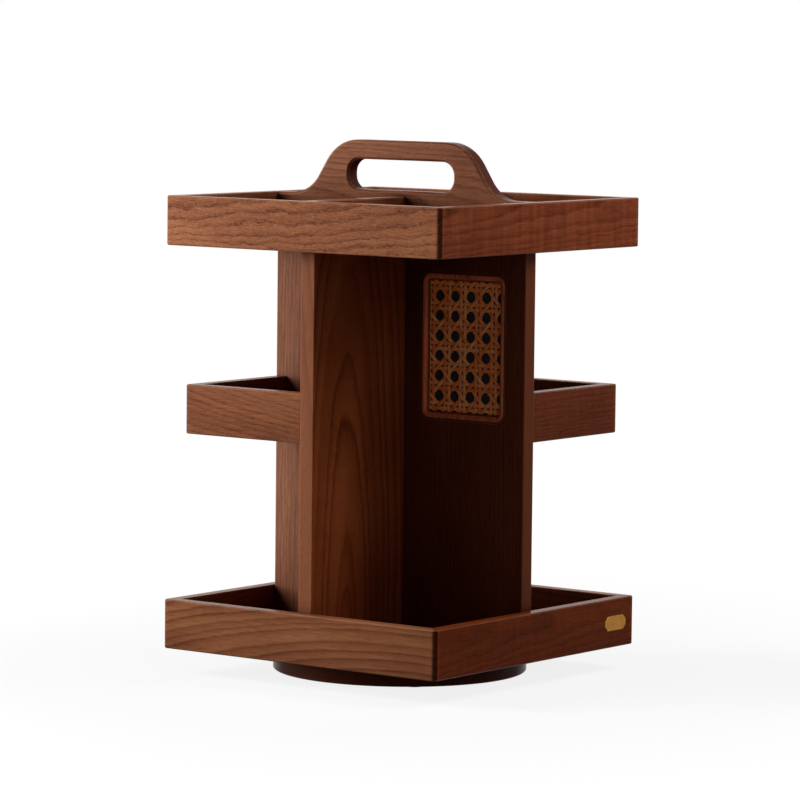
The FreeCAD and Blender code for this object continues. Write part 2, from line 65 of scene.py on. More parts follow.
# Wood figure where a board sets nothing else: lengths in millimetres, the rest are strengths.
WOOD_INPUTS = {"Spacing": 3.0, "Slope": 0.05, "Wander": 3.0, "Waves": 0.6, "Lines": 1.0, "Fibres": 1.0,
               "Strokes": 0.3, "Ripple": 0.0, "Seed": 0.0}

# Noises of the wood figure: repeats per millimetre across, through and along the grain.
WANDER_SCALE = (0.021, 0.021, 0.0075)
WAVES_SCALE = (0.07, 0.07, 0.045)
FRAY_SCALE = (0.9, 0.9, 0.03)
FIBRE_SCALE = (1.15, 1.15, 0.035)
HAIR_SCALE = (4.6, 4.6, 0.11)
BROAD_SCALE = (0.033, 0.033, 0.0085)
RIPPLE_SCALE = (0.02, 0.02, 0.16)
DASH_SCALE = (1.10, 1.10, 0.22)
SPECK_SCALE = (1.3, 1.3, 0.40)
PORE_SCALE = (2.7, 2.7, 0.15)
DRIFT_SCALE = 0.06              # uneven growth: repeats per millimetre of radius

# How much each of them counts, in rings or in tone.
DRIFT_DEPTH = 3.0
FRAY_DEPTH = 0.34
FIBRE_DEPTH = 0.9
HAIR_DEPTH = 0.32
BROAD_DEPTH = 0.50
RIPPLE_DEPTH = 0.8
SPECK_DEPTH = 0.30
DASH_DEPTH = 0.42
RING_DEPTH = 0.42
GRAIN_DEPTH = 0.8
RING_PROFILE = [(0.0, 0.75), (0.12, 1.0), (0.55, 0.72), (0.80, 0.25), (0.90, 0.0), (0.97, 0.45)]
RING_MEAN = 0.62

WOOD_DARK = (0.070, 0.0165, 0.0060)
WOOD_MID = (0.200, 0.058, 0.0215)
WOOD_LIGHT = (0.330, 0.116, 0.0480)
# pale arrises: partly wear, partly a painted highlight
PALE_ARRIS_WEAR_AND_HIGHLIGHT = (0.440, 0.215, 0.125)
PORE_SHADE = (0.46, 0.36, 0.32)
# dark mitre seams, and painted shade in corners and crevices
SEAM_AND_PAINTED_CREVICE_SHADE = (0.30, 0.22, 0.20)
# painted shade on the walls' rounded corners and a painted highlight line beside them
PAINTED_CORNER_SHADE = (0.36, 0.27, 0.27)
PAINTED_CORNER_HIGHLIGHT = (1.30, 1.55, 1.80)
# painted shade deep in the bays between the panels
PAINTED_BAY_SHADE = (0.40, 0.30, 0.32)
EDGE_EVEN = 0.6                 # how far the tone of narrow faces is evened out
PORE_COVER = 0.55
EDGE_WEAR_AND_HIGHLIGHT = 0.6
PAINTED_CREVICE_COVER = 0.55
PAINTED_BAY_COVER = 0.85
SEAM_COVER = 0.8

# Surface of the lacquered wood; reaches and reliefs in metres.
ARRIS = 0.9 * MM
# reaches of the painted shade in crevices and in deep bays
PAINTED_CREVICE_REACH = 6.0 * MM
PAINTED_BAY_SHADE_REACH = 0.04
WOOD_RELIEF = 0.12 * MM
WOOD_BUMP = 0.22
WOOD_ROUGHNESS = 0.50
WOOD_SPECULAR = 0.03
COAT_ROUGHNESS = 0.22
COAT_START, COAT_FULL, COAT_WEIGHT = 0.62, 0.94, 0.4

# the short panel's lit left face, plainer than its painted shaded right face
SHORT_BOARD_LIT_FACE_TINT = (0.72, 0.98, 1.35)
# the long panel's left half: a painted sheen of the key lamp
LONG_BOARD_LEFT_PAINTED_SHEEN = (1.90, 3.40, 5.00)
# near-black painted shade on the pockets' floors behind the cane
POCKET_PAINTED_SHADE = (0.030, 0.029, 0.032)

# Places on the object that the boards' finishes go by, in millimetres.
POCKET_DEEP, POCKET_SHALLOW = 2.3, 2.6      # nearer the panel's middle than this is a pocket's floor
POCKETS_END = 112.0
WALL_OUTSIDE = (80.0, 100.0)                # an outer face lies further out than this
SEAM_HALF = (0.10, 0.45)                    # full seam, no seam
PAINTED_HIGHLIGHT_LINE = (3.2, 3.8, 4.8, 5.6)          # fades in and out, past the mitre

# Figure of single boards: pith (mm: across, through, along, from the board's middle), wood figure values and
# what else wood_material takes. Several tints paint light: the front walls', the handle's and the short panel's
# end's paler, pinker tints are a painted sheen of the key lamp; the right walls' darker, redder tints and the
# short panel's redder tint paint the shade on the sides the key lamp leaves; the handle's dark edge tint is
# painted shade in its slot and along its edges.
BOARD_FIGURES = {
    "bottom_tray_front_wall": {"pith": (56, 2, 90), "Slope": 0.24, "Spacing": 6.2, "Wander": 5.0,
                               "Lines": 1.25, "Fibres": 0.7, "tint": (1.0, 1.16, 1.24)},
    "top_tray_front_wall": {"pith": (-30, -30, -60), "Slope": 0.07, "Spacing": 5.0, "Wander": 12.0,
                            "Waves": 6.0, "Lines": 0.9, "Strokes": 1.0, "tint": (1.28, 1.46, 1.62)},
    "left_middle_front_wall": {"pith": (-70, 12, 210), "Slope": 0.20, "Spacing": 3.6, "Wander": 5.0,
                               "Lines": 0.9, "Strokes": 0.5, "tint": (0.98, 1.06, 1.12)},
    "front_short_panel": {"pith": (16, -8, -75), "Slope": 0.13, "Spacing": 8.5, "Wander": 7.0, "Waves": 1.5,
                          "Lines": 1.1, "Fibres": 0.35, "tint": (1.22, 0.94, 0.68),
                          "edge_tint": (1.10, 1.25, 1.45), "bay_reach": 0.11},
    "top_tray_right_wall": {"Ripple": 0.7, "Waves": 3.5, "Spacing": 4.0, "Lines": 1.0,
                            "tint": (0.84, 0.60, 0.54)},
    "right_middle_side_wall": {"tint": (0.62, 0.44, 0.38)},
    "bottom_tray_right_wall": {"Ripple": 0.3, "Waves": 2.0, "tint": (0.70, 0.40, 0.14)},
    "long_panel": {"tint": (0.62, 0.48, 0.46), "edge_tint": (0.64, 0.54, 0.52), "bay_reach": 0.11},
    "handle_board": {"tint": (0.86, 1.0, 1.22), "edge_tint": (0.34, 0.24, 0.23), "Waves": 2.0},
    "base_disc": {"tint": (0.76, 0.64, 0.54)},
}

# Cane webbing, in millimetres: pitch of the holes, pairs of strands both ways and single diagonals.
CANE_PITCH_X = 14.6
CANE_PITCH_Z = 15.3
FIRST_HOLE = 14.9
PAIR_OFFSET = 1.98
PAIR_WIDTH = 2.95
DIAGONAL_WIDTH = 2.9
STRAND_THICK = 0.42
PAIR_WAVE = 0.24
DIAGONAL_WAVE = 0.50
STRAND_STEP = 1.3
STRAND_PROBES = 8               # tries per millimetre for a strand's ends
STRAND_UNEVEN = 0.05            # share of its width
STRAND_ROUND = 3                # once round a strand in its UV map; along it, the map is in millimetres
RECESS_CORNER = 8.5
STRAND_SECTION = [(-0.5, -0.10), (-0.44, 0.22), (-0.24, 0.45), (0.0, 0.52), (0.24, 0.45), (0.44, 0.22),
                  (0.5, -0.10), (0.30, -0.42), (-0.30, -0.42)]
CANE_TONES = [(0.05, (0.70, 0.145, 0.028)), (0.5, (0.98, 0.28, 0.072)), (0.95, (1.0, 0.50, 0.20))]
CANE_SPOT = (0.22, 0.055, 0.018)
CANE_PAINTED_SIDE_SHADE = (0.16, 0.035, 0.010)
CANE_PAINTED_HOLLOW_SHADE = (0.060, 0.010, 0.003)
CANE_REACH = 2.2 * MM
CANE_RELIEF = 0.05 * MM
CANE_SPECULAR = 0.15

# Section of a window's moulding: in from the pocket's edge and out of the panel's face, in millimetres.
BEAD_SECTION = [(0.0, -2.95), (0.0, 0.02), (1.4, 0.02), (1.65, 0.38), (2.2, 0.68), (3.0, 0.80), (3.8, 0.70),
                (4.5, 0.32), (5.0, -0.35), (5.5, -1.3), (6.2, -2.2), (6.5, -2.95)]
BEAD_RIDGE = 2                  # first face of the ridge; those before it lie flush with the panel
BEAD_FLANGE = 9                 # first face of the slope down to the cane
BEAD_TURNS = 10
BEAD_PITH = (20, -40, 30)
# (tint, edge tint) of the ridge, painted light on it, and of the slope down to the cane, painted shade
BEAD_LIGHT_AND_SHADE_TINTS = {"ridge": ((2.9, 2.4, 2.8), (1.2, 0.9, 0.9)), "flange": ((0.9, 0.7, 0.6), None)}
BEAD_BAY_REACH = 0.004

BRASS = (0.72, 0.50, 0.20)
AGED_BRASS = (0.36, 0.155, 0.021)
ZINC = (0.62, 0.62, 0.60)
BARE_STEEL = (0.60, 0.60, 0.61)
CAGE_WHITE = (0.78, 0.77, 0.72)
PAD_BLACK = (0.035, 0.034, 0.033)


class Nodes:
    """Adds nodes to a tree. Any input takes a socket or a plain value."""

    def __init__(self, tree):
        self.tree = tree

    def put(self, socket, value):
        if isinstance(value, bpy.types.NodeSocket):
            self.tree.links.new(value, socket)
        elif value is not None:
            socket.default_value = value

    def add(self, kind, inputs=None, **settings):
        node = self.tree.nodes.new(kind)
        for name, value in settings.items():
            setattr(node, name, value)
        for name, value in (inputs or {}).items():
            self.put(node.inputs[name], value)
        return node

    def math(self, operation, a, b=None, c=None, clamp=False):
        node = self.add("ShaderNodeMath", operation=operation, use_clamp=clamp)
        for socket, value in zip(node.inputs, (a, b, c)):
            self.put(socket, value)
        return node.outputs[0]

    def size(self, value):
        """The value without its sign."""
        return self.math("ABSOLUTE", value)

    def vector(self, operation, a, b=None):
        node = self.add("ShaderNodeVectorMath", operation=operation)
        self.put(node.inputs[0], a)
        self.put(node.inputs["Scale" if operation == "SCALE" else 1], b)
        return node.outputs["Value" if operation in ("DOT_PRODUCT", "LENGTH") else "Vector"]

    def split(self, vector):
        return self.add("ShaderNodeSeparateXYZ", {"Vector": vector}).outputs

    def join(self, x, y, z):
        return self.add("ShaderNodeCombineXYZ", {"X": x, "Y": y, "Z": z}).outputs[0]

    def stretch(self, vector, scale):
        """The vector times a scale for each axis."""
        return self.vector("MULTIPLY", vector, scale)

    def noise(self, vector, detail=2.0, roughness=0.5, output="Fac"):
        node = self.add("ShaderNodeTexNoise", {"Vector": vector, "Scale": 1.0, "Detail": detail,
                                               "Roughness": roughness})
        return node.outputs[output]

    def about_zero(self, value, amount):
        """A 0 to 1 value moved to swing about zero, times amount."""
        return self.math("MULTIPLY", self.math("SUBTRACT", value, 0.5), amount)

    def ranged(self, value, low, high, to_low=0.0, to_high=1.0):
        """The value from low to high as to_low to to_high, held at its ends."""
        node = self.add("ShaderNodeMapRange", {"Value": value, "From Min": low, "From Max": high,
                                               "To Min": to_low, "To Max": to_high}, clamp=True)
        return node.outputs[0]

    def ramp(self, value, stops):
        """A colour ramp through stops of (position, colour); a plain number stands for a grey."""
        node = self.add("ShaderNodeValToRGB", {"Fac": value})
        band = node.color_ramp
        while len(band.elements) < len(stops):
            band.elements.new(1.0)
        for element, (place, colour) in zip(band.elements, stops):
            element.position = place
            element.color = (*(colour if isinstance(colour, tuple) else (colour,) * 3), 1.0)
        return node.outputs["Color"]

    def mix(self, share, a, b, blend="MIX"):
        node = self.add("ShaderNodeMix", data_type="RGBA", blend_type=blend)
        for index, value in ((0, share), (6, a), (7, b)):
            self.put(node.inputs[index], value if not isinstance(value, tuple) else (*value, 1.0))
        return node.outputs[2]

    def tinted(self, colour, tint):
        """The colour multiplied by a tint."""
        return self.mix(1.0, colour, tint, "MULTIPLY")

    def shaded(self, share, colour, tint):
        """The colour, with a share of it multiplied by a tint."""
        return self.mix(share, colour, self.tinted(colour, tint))

    def openness(self, reach, samples):
        """1 in the open, down to 0 in hollows and corners within reach (metres)."""
        return self.add("ShaderNodeAmbientOcclusion", {"Distance": reach}, samples=samples).outputs["AO"]

    def bump(self, height, relief, strength, normal=None):
        """A normal roughened by height, over relief metres."""
        return self.add("ShaderNodeBump", {"Height": height, "Normal": normal, "Strength": strength,
                                           "Distance": relief}).outputs[0]


def new_material(name):
    """A material with an empty node tree, its node helper and its output."""
    material = bpy.data.materials.new(name)
    material.use_nodes = True
    material.node_tree.nodes.clear()
    nodes = Nodes(material.node_tree)
    return material, nodes, nodes.add("ShaderNodeOutputMaterial")


def principled(nodes, output, **values):
    """Puts a Principled surface on the output. A value's name is its socket's, with _ for each space."""
    inputs = {name.replace("_", " "): value for name, value in values.items()}
    nodes.put(output.inputs["Surface"], nodes.add("ShaderNodeBsdfPrincipled", inputs).outputs[0])


def object_millimetres(nodes):
    """Places on the object, in millimetres."""
    place = nodes.add("ShaderNodeTexCoord").outputs["Object"]
    return nodes.vector("SCALE", place, 1.0 / MM)


def own_normal(n, kind="Normal"):
    """The surface's normal in the object's own axes, so that a look turns with its board."""
    normal = n.add("ShaderNodeNewGeometry").outputs[kind]
    return n.add("ShaderNodeVectorTransform", {"Vector": normal}, vector_type="NORMAL", convert_from="WORLD",
                 convert_to="OBJECT").outputs[0]


def edge_mask(n, radius):
    """(Normal softened over arrises, 0 to 1 mask of the arrises.)"""
    soft = n.add("ShaderNodeBevel", {"Radius": radius}, samples=4).outputs[0]
    true = n.add("ShaderNodeNewGeometry").outputs["Normal"]
    return soft, n.math("SUBTRACT", 1.0, n.vector("DOT_PRODUCT", soft, true))


def times(colour, factor):
    """A plain colour made lighter or darker."""
    return tuple(min(1, c * factor) for c in colour)


def dress(frame, node, material):
    """Gives a CAD node its one material."""
    materials = frame["nodes"][node].data.materials
    materials.clear()
    materials.append(material)


def add_object(name, data):
    """A new object in the scene."""
    piece = bpy.data.objects.new(name, data)
    bpy.context.scene.collection.objects.link(piece)
    return piece


def group_tree(name, inputs, outputs):
    """A node group with float inputs of given defaults, a Vector input, and float outputs."""
    tree = bpy.data.node_groups.new(name, "ShaderNodeTree")
    tree.interface.new_socket("Vector", in_out="INPUT", socket_type="NodeSocketVector")
    for label, value in inputs.items():
        socket = tree.interface.new_socket(label, in_out="INPUT", socket_type="NodeSocketFloat")
        socket.default_value = value
    for label in outputs:
        tree.interface.new_socket(label, in_out="OUTPUT", socket_type="NodeSocketFloat")
    nodes = Nodes(tree)
    return tree, nodes, nodes.add("NodeGroupInput").outputs, nodes.add("NodeGroupOutput").inputs


def wood_figure():
    """Growth rings round a tilted pith, fibres and pores.

    Its vector is the board's own: across, through and along the grain.
    """
    tree, n, given, out = group_tree("wood_figure", WOOD_INPUTS, ("Tone", "Pores", "Height"))
    place = given["Vector"]
    seed = n.join(given["Seed"], n.math("MULTIPLY", given["Seed"], 1.7), 0.0)

    def noise_at(scale, at=place, **settings):
        return n.noise(n.vector("ADD", n.stretch(at, scale), seed), **settings)

    def swing(scale, amount):
        shift = n.vector("SUBTRACT", noise_at(scale, output="Color"), (0.5, 0.5, 0.5))
        return n.vector("SCALE", shift, amount)

    # the rings, cut by a board whose fibres wander
    moved = n.vector("ADD", place, n.vector("ADD", swing(WANDER_SCALE, given["Wander"]),
                                            swing(WAVES_SCALE, given["Waves"])))
    across, through, along = n.split(moved)
    tilted = n.math("ADD", through, n.math("MULTIPLY", along, given["Slope"]))
    radius = n.vector("LENGTH", n.join(across, tilted, 0.0))
    drift = n.noise(n.join(n.math("MULTIPLY", radius, DRIFT_SCALE), given["Seed"], 0.3), detail=1.0)
    phase = n.math("ADD", n.math("DIVIDE", radius, given["Spacing"]), n.about_zero(drift, DRIFT_DEPTH))
    phase = n.math("ADD", phase, n.about_zero(noise_at(FRAY_SCALE, moved), FRAY_DEPTH))
    ring_id = n.add("ShaderNodeTexWhiteNoise", {"W": n.math("FLOOR", phase)}, noise_dimensions="1D")
    profile = n.ramp(n.math("FRACT", phase), RING_PROFILE)
    strength = n.math("MULTIPLY", n.ranged(ring_id.outputs["Value"], 0.0, 1.0, 0.25, 1.0), given["Lines"])
    rings = n.math("MULTIPLY", n.math("SUBTRACT", profile, RING_MEAN), strength)

    # fibres, large patches and bars across the grain
    fibres = n.about_zero(noise_at(FIBRE_SCALE, moved, detail=3.0, roughness=0.62), FIBRE_DEPTH)
    hairs = n.about_zero(noise_at(HAIR_SCALE, moved), HAIR_DEPTH)
    grain = n.math("MULTIPLY", n.math("ADD", fibres, hairs), given["Fibres"])
    broad = n.about_zero(noise_at(BROAD_SCALE, detail=1.0), BROAD_DEPTH)
    ripple = n.about_zero(noise_at(RIPPLE_SCALE, detail=1.0), RIPPLE_DEPTH)
    ripple = n.math("MULTIPLY", ripple, given["Ripple"])

    # short dark dashes in the dark part of each ring, and pale specks
    dashes = n.ranged(noise_at(DASH_SCALE, moved, detail=2.0, roughness=0.65), 0.50, 0.66)
    dashes = n.math("MULTIPLY", dashes, n.ranged(profile, 0.1, 0.8, 1.0, 0.35))
    specks = n.ranged(noise_at(SPECK_SCALE, moved, detail=1.0), 0.60, 0.74)
    strokes = n.math("SUBTRACT", n.math("MULTIPLY", specks, SPECK_DEPTH),
                     n.math("MULTIPLY", dashes, DASH_DEPTH))

    tone = n.math("ADD", n.math("MULTIPLY_ADD", rings, RING_DEPTH, 0.5),
                  n.math("MULTIPLY", grain, GRAIN_DEPTH))
    tone = n.math("ADD", tone, n.math("MULTIPLY", strokes, given["Strokes"]))
    tone = n.math("ADD", tone, n.math("ADD", broad, ripple), clamp=True)
    pores = n.ranged(noise_at(PORE_SCALE, moved, detail=1.0, roughness=0.4), 0.60, 0.70)
    pores = n.math("MULTIPLY", pores, n.ranged(profile, 0.2, 0.9, 0.35, 1.0))
    n.put(out["Tone"], tone)
    n.put(out["Pores"], pores)
    n.put(out["Height"], n.math("SUBTRACT", n.math("MULTIPLY_ADD", grain, 0.35, profile), pores))
    return tree


def wood_material(name, figure, board, tint=(1.0, 1.0, 1.0), edge_tint=None, finish=None, bay_reach=PAINTED_BAY_SHADE_REACH,
                  **values):
    """Stained and lacquered wood. board is (to_local, through axis); values go to the wood figure.

    edge_tint is for the narrow faces of the board; finish(nodes, colour) may change the colour further. Corners
    and crevices get painted shade, and deep bays are darker over bay_reach with painted shade.
    """
    material, n, output = new_material(name)
    to_local, through = board
    group = n.add("ShaderNodeGroup", node_tree=figure)
    n.put(group.inputs["Vector"], to_local(n))
    for label, value in values.items():
        group.inputs[label].default_value = value
    tone, pores, height = (group.outputs[label] for label in ("Tone", "Pores", "Height"))
    bare = n.ramp(tone, [(0.08, WOOD_DARK), (0.50, WOOD_MID), (0.92, WOOD_LIGHT)])
    colour = n.tinted(bare, tint)
    if edge_tint:
        facing = n.vector("DOT_PRODUCT", own_normal(n, "True Normal"), through)
        narrow = n.ranged(n.size(facing), 0.3, 0.6, 1.0, 0.0)
        colour = n.mix(narrow, colour, n.tinted(n.mix(EDGE_EVEN, bare, WOOD_MID), edge_tint))
    colour = n.shaded(n.math("MULTIPLY", pores, PORE_COVER), colour, PORE_SHADE)
    soft, edge = edge_mask(n, ARRIS)
    # paler arrises, partly wear and partly a painted highlight
    colour = n.mix(n.math("MULTIPLY", n.ranged(edge, 0.004, 0.10), EDGE_WEAR_AND_HIGHLIGHT), colour, PALE_ARRIS_WEAR_AND_HIGHLIGHT)
    # painted shade in corners and crevices
    crevice_shade = n.ranged(n.openness(PAINTED_CREVICE_REACH, 4), 0.35, 0.80, PAINTED_CREVICE_COVER, 0.0)
    colour = n.shaded(crevice_shade, colour, SEAM_AND_PAINTED_CREVICE_SHADE)
    # painted shade deep in bays
    bay_shade = n.ranged(n.openness(bay_reach, 4), 0.50, 0.88, PAINTED_BAY_COVER, 0.0)
    colour = n.shaded(bay_shade, colour, PAINTED_BAY_SHADE)
    if finish:
        colour = finish(n, colour)
    rough = n.math("ADD", n.math("MULTIPLY_ADD", tone, -0.10, WOOD_ROUGHNESS),
                   n.math("MULTIPLY", pores, 0.12))
    grazing = n.add("ShaderNodeLayerWeight", {"Blend": 0.5}).outputs["Facing"]
    principled(n, output, Base_Color=colour, Roughness=rough, Specular_IOR_Level=WOOD_SPECULAR,
               Coat_Weight=n.ranged(grazing, COAT_START, COAT_FULL, 0.0, COAT_WEIGHT),
               Coat_Roughness=COAT_ROUGHNESS, Normal=n.bump(height, WOOD_RELIEF, WOOD_BUMP, soft))
    return material


def mitred(n, colour):
    """A tray's wall: dark mitre seams, painted shade on the rounded corners and a painted highlight line beside
    them.
    """
    x, y, _ = n.split(object_millimetres(n))
    past_mitre = n.math("SUBTRACT", n.size(x), n.size(y))
    seam = n.ranged(n.size(past_mitre), *SEAM_HALF, SEAM_COVER, 0.0)
    colour = n.shaded(seam, colour, SEAM_AND_PAINTED_CREVICE_SHADE)
    east, north, up = n.split(own_normal(n))
    upright = n.ranged(n.size(up), 0.05, 0.25, 1.0, 0.0)
    # painted shade on the rounded upright corners
    dark = n.ramp(n.size(north), [(0.06, 0.0), (0.24, 1.0), (0.90, 0.85), (0.985, 0.0)])
    colour = n.shaded(n.math("MULTIPLY", dark, upright), colour, PAINTED_CORNER_SHADE)
    # a painted highlight line on the outer face just past each rounded corner
    outer = n.ranged(n.math("MULTIPLY", east, x), *WALL_OUTSIDE)
    line = n.math("MULTIPLY", n.ranged(past_mitre, *PAINTED_HIGHLIGHT_LINE[:2]),
                  n.ranged(past_mitre, *PAINTED_HIGHLIGHT_LINE[2:], 1.0, 0.0))
    return n.shaded(n.math("MULTIPLY", line, outer), colour, PAINTED_CORNER_HIGHLIGHT)


def short_board(n, colour):
    """The left face, lit by the key lamp, plainer than the board's redder tint, which paints shade on its right
    face.
    """
    east, _, _ = n.split(own_normal(n))
    return n.shaded(n.ranged(east, -0.97, -0.85, 1.0, 0.0), colour, SHORT_BOARD_LIT_FACE_TINT)


def long_board(n, colour):
    """Left half paler and pinker: painted key-lamp sheen. Pockets behind the cane: near-black painted shade."""
    x, y, _ = n.split(object_millimetres(n))
    colour = n.shaded(n.ranged(x, -1.0, 1.0, 1.0, 0.0), colour, LONG_BOARD_LEFT_PAINTED_SHEEN)
    # near-black painted shade on the pockets' floors
    deep = n.ranged(n.size(y), POCKET_DEEP, POCKET_SHALLOW, 1.0, 0.0)
    pocket = n.math("MULTIPLY", deep, n.ranged(n.size(x), POCKETS_END, POCKETS_END + 1.0, 1.0, 0.0))
    return n.mix(pocket, colour, POCKET_PAINTED_SHADE)


def board_axes(node):
    """Unit axes of a board (across, through, along): its box is longest along and thinnest through."""
    low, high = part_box(node)
    size = high - low
    order = sorted(range(3), key=lambda i: size[i])
    through, along = Vector((0, 0, 0)), Vector((0, 0, 0))
    through[order[0]] = 1.0
    along[order[2]] = 1.0
    return through.cross(along), through, along


def board_mapping(node, pith):
    """(A function that adds the nodes from object coordinates to the board's own, its through axis).

    The pith (mm) is the board's origin.
    """
    low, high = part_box(node)
    axes = board_axes(node)
    rotation = Matrix(axes)
    origin = rotation @ ((low + high) / 2 / MM) + Vector(pith)

    def to_local(n):
        place = n.add("ShaderNodeTexCoord").outputs["Object"]
        return n.add("ShaderNodeMapping", {"Vector": place, "Scale": (1 / MM,) * 3, "Location": -origin,
                                           "Rotation": rotation.to_euler()}).outputs[0]

    return to_local, tuple(axes[1])


def dress_boards(frame):
    """Gives each wooden CAD node its own piece of wood, and gives the wood figure back."""
    figure = wood_figure()
    draw = random.Random(7)
    finishes = {"front_short_panel": short_board, "long_panel": long_board}
    slots = {part["node"]: part["material_slot"] for part in frame["record"]["subparts"]}
    for node in sorted(slots):
        if "wood" not in slots[node] or slots[node] == "bead_wood":
            continue
        values = {
            "pith": (draw.uniform(-70, 70), draw.uniform(-60, -15), draw.uniform(-120, 120)),
            "Slope": draw.uniform(0.01, 0.06),
            "Spacing": draw.uniform(2.4, 3.8),
            "Wander": draw.uniform(2.5, 5.0),
            "Lines": draw.uniform(0.6, 1.0),
            "Ripple": draw.uniform(0.0, 0.35),
            "Seed": draw.uniform(0.0, 60.0),
        }
        values["Strokes"] = values["Seed"] / 120.0      # up to a half, without another draw
        values["finish"] = mitred if "_wall" in node else finishes.get(node)
        values.update(BOARD_FIGURES.get(node, {}))
        board = board_mapping(node, values.pop("pith"))
        dress(frame, node, wood_material(f"{node}_wood", figure, board, **values))
    return figure


def metal_material(name, colour, roughness, brush_scale, dirt):
    """Brushed metal: fine lines along the short axis of brush_scale, uneven sheen and a darker film."""
    material, n, output = new_material(name)
    place = object_millimetres(n)
    lines = n.noise(n.stretch(place, brush_scale), detail=3.0, roughness=0.6)
    patches = n.noise(n.stretch(place, (0.18,) * 3), detail=2.0)
    soft, edge = edge_mask(n, 0.25 * MM)
    shade = n.mix(n.ranged(lines, 0.25, 0.75), times(colour, 0.80), times(colour, 1.12))
    shade = n.mix(n.ranged(patches, 0.35, 0.75, 0.0, dirt), shade, times(colour, 0.55))
    shade = n.mix(n.ranged(edge, 0.01, 0.2, 0.0, 0.5), shade, times(colour, 1.3))
    rough = n.math("ADD", n.about_zero(lines, 0.22), n.math("MULTIPLY_ADD", patches, 0.14, roughness))
    principled(n, output, Base_Color=shade, Metallic=1.0, Roughness=rough,
               Normal=n.bump(lines, 0.05 * MM, 0.3, soft))
    return material


def moulded_material(name, colour, roughness, grit, specular):
    """Moulded plastic or rubber: a fine matt texture with faint clouding."""
    material, n, output = new_material(name)
    place = object_millimetres(n)
    grains = n.noise(n.stretch(place, (grit,) * 3), detail=2.0)
    clouds = n.noise(n.stretch(place, (0.12,) * 3), detail=3.0)
    shade = n.mix(n.ranged(clouds, 0.3, 0.7), times(colour, 0.82), times(colour, 1.1))
    shade = n.mix(n.ranged(grains, 0.5, 0.8, 0.0, 0.3), shade, times(colour, 0.7))
    soft, _ = edge_mask(n, 0.3 * MM)
    principled(n, output, Base_Color=shade, Roughness=n.math("ADD", n.about_zero(grains, 0.2), roughness),
               Specular_IOR_Level=specular, Normal=n.bump(grains, 0.06 * MM, 0.4, soft))
    return material


def dress_fittings(frame):
    """Gives the metal, rubber and plastic CAD nodes their materials."""
    metals = {
        "badge_plate": ("aged_brass", AGED_BRASS, 0.34, (1.2, 0.10, 9.0), 0.45),
        "threaded_insert": ("turned_brass", BRASS, 0.30, (1.0, 1.0, 8.0), 0.35),
        "centre_bolt": ("zinc_bolt", ZINC, 0.32, (1.5, 1.5, 6.0), 0.35),
        "lower_race": ("zinc_lower_race", ZINC, 0.30, (0.8, 0.8, 0.8), 0.30),
        "upper_race": ("zinc_upper_race", ZINC, 0.30, (0.8, 0.8, 0.8), 0.30),
        "bearing_rollers": ("roller_steel", BARE_STEEL, 0.16, (0.4, 0.4, 5.0), 0.10),
    }
    mouldings = {
        "roller_cage": ("cage_plastic", CAGE_WHITE, 0.42, 5.0, 0.5),
        "base_pads": ("pad_rubber", PAD_BLACK, 0.72, 3.5, 0.35),
    }
    for node, look in metals.items():
        dress(frame, node, metal_material(*look))
    for node, look in mouldings.items():
        dress(frame, node, moulded_material(*look))


def inside_recess(points, half_x, half_z):
    """Which points (centred on the sheet) lie in the recess with its rounded corners."""
    reach = np.abs(points) - (np.array([half_x, half_z]) - RECESS_CORNER)
    corner = np.hypot(*np.clip(reach, 0, None).T)
    return (corner <= RECESS_CORNER) & (reach.max(1) <= RECESS_CORNER)


def strand_path(start, end, half_x, half_z):
    """Even steps along the part of a straight line that lies in the recess, as (points, direction)."""
    start, end = np.array(start, float), np.array(end, float)
    length = np.hypot(*(end - start))
    direction = (end - start) / length
    fine = start + np.linspace(0, length, int(length * STRAND_PROBES) + 2)[:, None] * direction
    kept = fine[inside_recess(fine, half_x, half_z)]
    if len(kept) < 2 or np.hypot(*(kept[-1] - kept[0])) < 2 * STRAND_STEP:
        return None, direction
    count = int(np.hypot(*(kept[-1] - kept[0])) / STRAND_STEP) + 2
    return kept[0] + np.linspace(0, 1, count)[:, None] * (kept[-1] - kept[0]), direction


